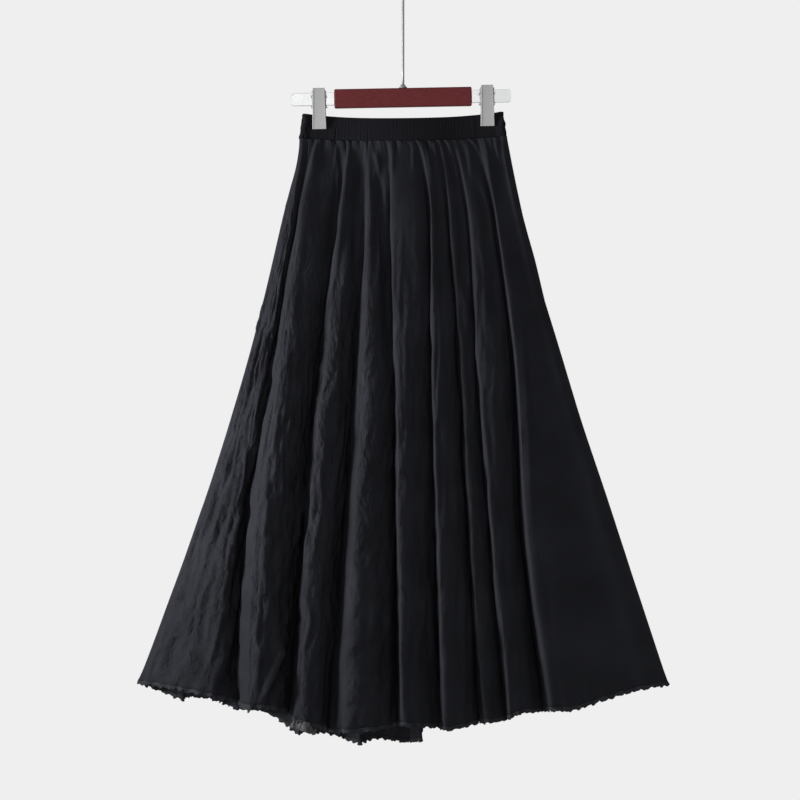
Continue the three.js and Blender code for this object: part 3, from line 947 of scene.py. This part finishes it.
def cutFrom(ring, first, last, gap):     # columns first to last, the end ones drawn in by half a gap
    part = np.take(ring, np.arange(first, last + 1), axis=1, mode="wrap").copy()
    for end, inner in ((0, 1), (-1, -2)):
        way = unit(part[:, inner] - part[:, end])
        part[:, end] += 0.5 * gap * way
    return part


def makePanels():
    panels = {}
    creased = crumpleAmount()[..., None]
    for name, first, last in (("front", 0, frontColumns), ("back", frontColumns, columnsInAll)):
        points = cutFrom(cloth, first, last, skirt["sideGap"])
        amount = cutFrom(creased, first, last, 0)[..., 0]
        panels[name] = clothGrid(f"{name}Panel", points, crepe, f"{name}_panel",
                                 skirt["shell"], amount)
    return panels


panels = makePanels()
print("panels made")


hemStitch = {
    "finer": 4,
    "rows": 5,
    "pitch": 2.4,
    "high": 0.14,
    "off": 0.1,                 # the thread stands this far off the cloth
    "thicker": 0.2,
    "lap": 0.8,                 # the thread covers this much of the cloth's edge
    "waves": ((14.6, 2.4, 2.0), (6.8, 1.1, 1.0)),        # length, deep and how far they drop
    "ends": ((-223, 5, 6), (-236, 3.5, 4), (-164, 3, 4), (-129, 2.5, 5), (-60, 3, 3.5),
             (236, 2.5, 4), (118, 2, 4)),                  # threads that hang down at x, by, over
}


def hemRing():                  # the overlocked edge, its way down and its outward direction
    fall = unit(cloth[-1] - cloth[-3])
    along = unit(np.roll(cloth[-1], -1, axis=0) - np.roll(cloth[-1], 1, axis=0))
    out = unit(np.cross(fall, along))
    place = np.arange(columnsInAll * hemStitch["finer"]) / hemStitch["finer"]
    k = np.floor(place).astype(int)
    u = (place - k)[:, None]

    def between(values):
        return values[k] * (1 - u) + values[(k + 1) % columnsInAll] * u

    top, fall, out = between(cloth[-1]), unit(between(fall)), unit(between(out))
    run = np.cumsum(np.linalg.norm(np.roll(top, -1, axis=0) - top, axis=-1))
    wavy, drops = 0 * run, 0 * run
    for part, (pitch, deep, lift) in enumerate(hemStitch["waves"]):
        phase = 2 * math.pi * run / pitch + 3.5 * softNoise(run / pitch / 3, 0.5, 63 + part)
        lively = 0.55 + 0.45 * softNoise(run / 37, 4.5, 65 + part)
        wavy += deep * lively * np.sin(phase)
        drops += lift * lively * np.cos(phase + 0.9)
    for x, drop, width in hemStitch["ends"]:
        drops += drop * np.exp(-((top[:, 0] - x) / width) ** 2) * (top[:, 1] < 0)
    rows = []
    for row in range(hemStitch["rows"] + 1):
        share = row / hemStitch["rows"]
        drop = share * (skirt["seamGap"] + skirt["hemTall"]) - (1 - share) * hemStitch["lap"]
        drop = drop + share ** 1.5 * drops
        swell = skirt["hemSwell"] * math.sin(math.pi * min(1, 0.3 + 0.7 * share))
        slant = 2 * math.pi * (run / hemStitch["pitch"] + 0.6 * share)
        offset = swell + hemStitch["high"] * np.cos(slant) + share ** 1.5 * wavy + hemStitch["off"]
        rows.append(top + drop[:, None] * fall + offset[:, None] * out)
    return np.stack(rows), fall, out


def makeHems(ring):             # thicker than the cloth that they finish
    hems = {}
    finer = hemStitch["finer"]
    for name, first, last in (("front", 0, frontColumns), ("back", frontColumns, columnsInAll)):
        points = cutFrom(ring, first * finer, last * finer, skirt["sideGap"])
        thick = skirt["shell"] + skirt["hemSwell"] + hemStitch["thicker"]
        hems[name] = clothGrid(f"{name}Hem", points, overlock, f"{name}_hem", thick)
    return hems


turnedHem = {
    "from": -159,
    "to": -126,
    "least": 60,                # of depth, so that only the fold's front is taken
    "rows": 10,
    "tall": 13,
    "ragged": (0.68, 0.32, 0.14),        # shares of the height: at the ends, between, in waves
    "below": 9,
    "off": 1.2,
    "puff": 1.8,
    "wavy": (1.1, 1.2),         # off the edge, and at its foot
    "thick": 0.6,
}


def makeTurnedHem(edge, fall, out):      # a short length has turned up; its pale colour is painted light, for the light that comes through the hem's edge
    low, high = turnedHem["from"], turnedHem["to"]
    inside = (edge[:, 0] > low) & (edge[:, 0] < high) & (edge[:, 1] < -turnedHem["least"])
    found = np.flatnonzero(inside)
    taken = np.arange(found[0], found[-1] + 1)
    across = np.linspace(0, math.pi, len(taken))
    ends, between, waves = turnedHem["ragged"]
    tall = turnedHem["tall"] * (ends + between * np.sin(across) + waves * np.sin(4 * across))
    foot = turnedHem["below"] + turnedHem["wavy"][1] * softNoise(taken / 9, 0.5, 68)
    grid = []
    for row in range(turnedHem["rows"] + 1):
        share = row / turnedHem["rows"]
        away = turnedHem["off"] + turnedHem["puff"] * math.sin(math.pi * share)
        away += turnedHem["wavy"][0] * softNoise(taken / 5, share * 3, 67)
        up = ((1 - share) * tall - foot)[:, None] * fall[taken]
        grid.append(edge[taken] - up + away[:, None] * out[taken])
    clothGrid("turnedHem", np.stack(grid), hemLightPatchThread, None, turnedHem["thick"])


ring, hemFall, hemOut = hemRing()
makeTurnedHem(ring[-1], hemFall, hemOut)
hems = makeHems(ring)
print("hems made")


def makeWaistbands():
    bands = {}
    rows, columns = band["rows"], band["columns"]
    for name, start, end, seed in (("front", 0, 0.5, 71), ("back", 0.5, 1, 72)):
        share = np.linspace(start, end, columns + 1)
        line, way, out = waistAt(share)
        run = share * waistLength
        calm = softStep(np.abs(np.abs(line[:, 0]) - band["clipPlace"]), *band["pressed"])
        phase = 2 * math.pi * run / band["ribPitch"] + 9 * softNoise(run / 24, 0.5, seed)
        lively = np.maximum(0, 0.45 + 0.75 * softNoise(run / 8, 2.5, seed + 2))
        loop = softStep(np.abs(line[:, 0]), *band["loops"])
        line = line.copy()
        line[0] += 0.5 * skirt["seamGap"] * way[0]
        line[-1] -= 0.5 * skirt["seamGap"] * way[-1]
        grid = []
        for row in range(rows + 1):
            low = row / rows
            x = line[:, 0] * (band["taper"] * (1 - low) + low)
            height = edgeHeight("bandTop", x) * (1 - low) + (
                edgeHeight("waistSeam", x) + skirt["seamGap"]) * low
            turned = band["roll"] * (np.exp(-low * 12) + np.exp(-(1 - low) * 12))
            rib = band["rib"] * lively * np.cos(phase + 2.2 * softNoise(run / 12, low * 3, seed + 4))
            rib *= 0.45 + 0.55 * softNoise(run / 5, low * 2.2 + 0.3, seed + 6)
            rib += band["crumple"] * loop * crumpleNoise(run / 5, low * 4, seed + 8)
            point = np.stack([x, line[:, 1], height], axis=-1)
            grid.append(point + (calm * (rib + band["rib"]) - turned)[:, None] * out)
        bands[name] = clothGrid(f"{name}Waistband", np.stack(grid), casing,
                                f"waistband_{name}", band["wall"] - band["roll"])
    return bands


bands = makeWaistbands()
print("waistband made")


# the hanger, in millimetres about the middle of its bar, which hangs a degree up to the right

hanger = {
    "barMiddle": -204.6,
    "barTilt": -0.0183,
    "wood": {"long": 206, "deep": 12, "tall": 28, "edge": 2.2},
    "clear": {"deep": 6, "tall": 19, "round": 5, "edge": 0.7, "left": -168, "right": 162},
}

barPlace = (
    Matrix.Translation((0, 0, hanger["barMiddle"] * mm))
    @ Matrix.Rotation(hanger["barTilt"], 4, "Y")
)


def block(low, high):           # a box between two corners
    bm = bmesh.new()
    bmesh.ops.create_cube(bm, size=1)
    size = [b - a for a, b in zip(low, high)]
    middle = [(a + b) / 2 for a, b in zip(low, high)]
    bmesh.ops.scale(bm, verts=bm.verts, vec=size)
    bmesh.ops.translate(bm, verts=bm.verts, vec=middle)
    return bm


def roundEdges(bm, edgeList, width, segments):
    bmesh.ops.bevel(bm, geom=edgeList, offset=width, segments=segments, profile=0.5,
                    affect="EDGES", material=-1)


def sharpEdges(bm, least=40):
    return [edge for edge in bm.edges
            if len(edge.link_faces) == 2 and edge.calc_face_angle(0) > math.radians(least)]


def hardPiece(name, bm, material, nodes=(), place=None):
    bmesh.ops.scale(bm, verts=bm.verts, vec=(mm, mm, mm))
    bmesh.ops.transform(bm, verts=bm.verts, matrix=place or Matrix())
    bmesh.ops.recalc_face_normals(bm, faces=bm.faces)
    ob = linkPiece(name, bm, material, nodes)
    ob.modifiers.new("evenShading", "WEIGHTED_NORMAL")
    return ob


def makeBars():
    size = hanger["wood"]
    half = (size["long"] / 2, size["deep"] / 2, size["tall"] / 2)
    bm = block([-part for part in half], half)
    roundEdges(bm, list(bm.edges), size["edge"], 4)
    hardPiece("woodBar", bm, wood, ["hanger_wood_bar"], barPlace)

    size = hanger["clear"]
    root = half[0] + skirt["seamGap"]
    for side, near, far in (("left", -root, size["left"]), ("right", root, size["right"])):
        low, high = sorted((near, far))
        bm = block((low, -size["deep"] / 2, -size["tall"] / 2),
                   (high, size["deep"] / 2, size["tall"] / 2))
        corners = [edge for edge in bm.edges
                   if all(abs(vert.co.x - far) < 0.01 for vert in edge.verts)
                   and abs(edge.verts[0].co.z - edge.verts[1].co.z) < 0.01]
        roundEdges(bm, corners, size["round"], 6)
        roundEdges(bm, sharpEdges(bm), size["edge"], 2)
        hardPiece(f"clearBar_{side}", bm, clearPlastic,
                  [f"hanger_clear_bar_{side}"], barPlace)


makeBars()
print("bars made")


clip = {
    "sleeveWide": 21.4,         # hidden behind the jaws, so narrower than in the solids
    "sleeveWall": 2.3,
    "sleeveEdge": 0.4,
    "jawWide": 20,
    "edge": 0.6,
    "footDepth": 2.45,          # inner face of the foot, off the middle plane
    # depth off the foot's inner face, or off the sleeve in the rows marked clear, and height
    "jaw": ((0, -45.4), (2.3, -45.4), (3.6, -37), ("clear", 2.7, -18), ("clear", 3, 0),
            ("clear", 3.2, 15.6), ("clear", 1, 15.6), ("clear", 0, 6), ("clear", 0, -14),
            (0, -22)),
    "taper": (0.9, 1.04),       # of the jaw's width, at its top and at its foot
    "rim": (1.2, 0.35),         # width and height of the raised rim round the jaw's face
    "rimLeast": 60,             # area of a face that has one
    "pin": 0.8,
    "pinReach": 12.2,
    "pinHeights": (-11.5, 3.5),
}


def prism(outline, wide):       # an outline in y and z, run along x about the middle
    bm = bmesh.new()
    verts = [bm.verts.new((-wide / 2, y, z)) for y, z in outline]
    face = bm.faces.new(verts)
    made = bmesh.ops.extrude_face_region(bm, geom=[face])["geom"]
    moved = [part for part in made if isinstance(part, bmesh.types.BMVert)]
    bmesh.ops.translate(bm, verts=moved, vec=(wide, 0, 0))
    bmesh.ops.recalc_face_normals(bm, faces=bm.faces)
    return bm


def jawOutline(facing):
    clear = hanger["clear"]["deep"] / 2 + 2 * skirt["seamGap"] + clip["sleeveWall"]
    points = []
    for row in clip["jaw"]:
        base = clear if row[0] == "clear" else clip["footDepth"]
        points.append((facing * (base + row[-2]), row[-1]))
    return points


def rod(radius, start, end, segments=24):
    bm = bmesh.new()
    start, end = Vector(start), Vector(end)
    turn = (end - start).to_track_quat("Z", "X").to_matrix().to_4x4()
    matrix = Matrix.Translation((start + end) / 2) @ turn
    bmesh.ops.create_cone(bm, cap_ends=True, segments=segments, radius1=radius, radius2=radius,
                          depth=(end - start).length, matrix=matrix)
    roundEdges(bm, sharpEdges(bm, 60), min(0.3, radius / 3), 2)
    return bm


def makeClip(side, place):
    here = barPlace @ Matrix.Translation((place * mm, 0, 0))
    deep = hanger["clear"]["deep"] / 2 + skirt["seamGap"]
    tall = hanger["clear"]["tall"] / 2 + skirt["seamGap"]
    wall, wide = clip["sleeveWall"], clip["sleeveWide"]

    bm = block((-wide / 2, -deep - wall, -tall - wall), (wide / 2, deep + wall, tall + wall))
    ends = [face for face in bm.faces if abs(face.normal.x) > 0.9]
    bmesh.ops.inset_individual(bm, faces=ends, thickness=wall)
    inner = sorted((face for face in bm.faces if abs(face.normal.x) > 0.9
                    and all(abs(vert.co.z) < tall + 0.1 for vert in face.verts)),
                   key=lambda face: face.calc_center_median().x)
    bmesh.ops.bridge_loops(bm, edges=[edge for face in inner for edge in face.edges])
    bmesh.ops.delete(bm, geom=inner, context="FACES_ONLY")
    roundEdges(bm, sharpEdges(bm), clip["sleeveEdge"], 2)
    hardPiece(f"clipSleeve_{side}", bm, clipPlastic, [f"clip_{side}_sleeve"], here)

    for name, facing in (("front", -1), ("back", 1)):
        bm = prism(jawOutline(facing), clip["jawWide"])
        heights = [row[-1] for row in clip["jaw"]]
        atTop, atFoot = clip["taper"]
        for vert in bm.verts:
            share = (vert.co.z - min(heights)) / (max(heights) - min(heights))
            vert.co.x *= atFoot + share * (atTop - atFoot)
        roundEdges(bm, sharpEdges(bm, 25), clip["edge"], 3)
        faces = [face for face in bm.faces
                 if facing * face.normal.y > 0.95 and face.calc_area() > clip["rimLeast"]]
        bmesh.ops.inset_region(bm, faces=faces, thickness=clip["rim"][0], depth=0)
        bmesh.ops.inset_region(bm, faces=faces, thickness=clip["rim"][1], depth=-clip["rim"][1])
        hardPiece(f"clipJaw_{side}_{name}", bm, clipPlastic,
                  [f"clip_{side}_{name}_jaw"], here)

        middle = facing * (deep + wall + skirt["seamGap"] + clip["jaw"][4][1] / 2)
        for level, height in zip(("low", "high"), clip["pinHeights"]):
            reach = clip["pinReach"]
            bm = rod(clip["pin"], (-reach, middle, height), (reach, middle, height))
            hardPiece(f"clipPin_{side}_{name}_{level}", bm, platedWire, place=here)


makeClip("left", -band["clipPlace"])
makeClip("right", band["clipPlace"])
print("clips made")


hook = {
    "wire": 4,
    "radius": 20,
    "curl": (-50, 200),         # degrees from which and to which the wire turns round
    "neck": (0, 45, 90),        # heights above the bar, then x and z on the way to the curl
    "bend": ((0, -62), (0, -52), (3.5, -43)),
    "play": 0.15,
    "collar": {"wide": 12, "neck": 7.4, "tall": 5, "rim": 1.6},
}


def makeHook():
    foot = hanger["barMiddle"] + hanger["wood"]["tall"] / 2 + skirt["seamGap"]
    centre = hook["wire"] / 2 - hook["radius"]
    points = [Vector((0, 0, foot + up)) for up in hook["neck"]]
    points += [Vector((x, 0, z)) for x, z in hook["bend"]]
    first, last = hook["curl"]
    for degrees in range(first, last + 1, 10):
        turn = math.radians(degrees)
        points.append(Vector((hook["radius"] * math.cos(turn), 0,
                              centre + hook["radius"] * math.sin(turn))))
    path = bpy.data.curves.new("hookPath", "CURVE")
    path.dimensions = "3D"
    path.bevel_depth = hook["wire"] / 2 * mm
    path.bevel_resolution = 6
    path.use_fill_caps = True
    line = path.splines.new("NURBS")
    line.points.add(len(points) - 1)
    for point, place in zip(line.points, points):
        point.co = (*(place * mm), 1)
    line.use_endpoint_u = True
    line.order_u = 4
    line.resolution_u = 4
    drawn = bpy.data.objects.new("hookPath", path)
    mesh = bpy.data.meshes.new_from_object(drawn)
    bm = bmesh.new()
    bm.from_mesh(mesh)
    bpy.data.objects.remove(drawn)
    bpy.data.meshes.remove(mesh)
    bmesh.ops.remove_doubles(bm, verts=bm.verts, dist=1e-6)
    bmesh.ops.recalc_face_normals(bm, faces=bm.faces)
    linkPiece("hookWire", bm, platedWire, ["hanger_hook"])

    size = hook["collar"]
    bore = hook["wire"] / 2 + hook["play"]
    outline = [(bore, 0), (size["wide"] / 2, 0), (size["wide"] / 2, size["rim"]),
               (size["neck"] / 2 + 0.8, size["rim"] + 0.9), (size["neck"] / 2, size["tall"] - 0.6),
               (size["neck"] / 2 - 0.6, size["tall"]), (bore, size["tall"])]
    bm = bmesh.new()
    verts = [bm.verts.new((radius, 0, foot + height)) for radius, height in outline]
    rim = [bm.edges.new(pair) for pair in zip(verts, verts[1:] + verts[:1])]
    bmesh.ops.spin(bm, geom=verts + rim, axis=(0, 0, 1), cent=(0, 0, 0), angle=2 * math.pi,
                   steps=48, use_merge=True)
    hardPiece("neckCollar", bm, platedWire, ["hanger_neck_collar"])


makeHook()
print("hook made")
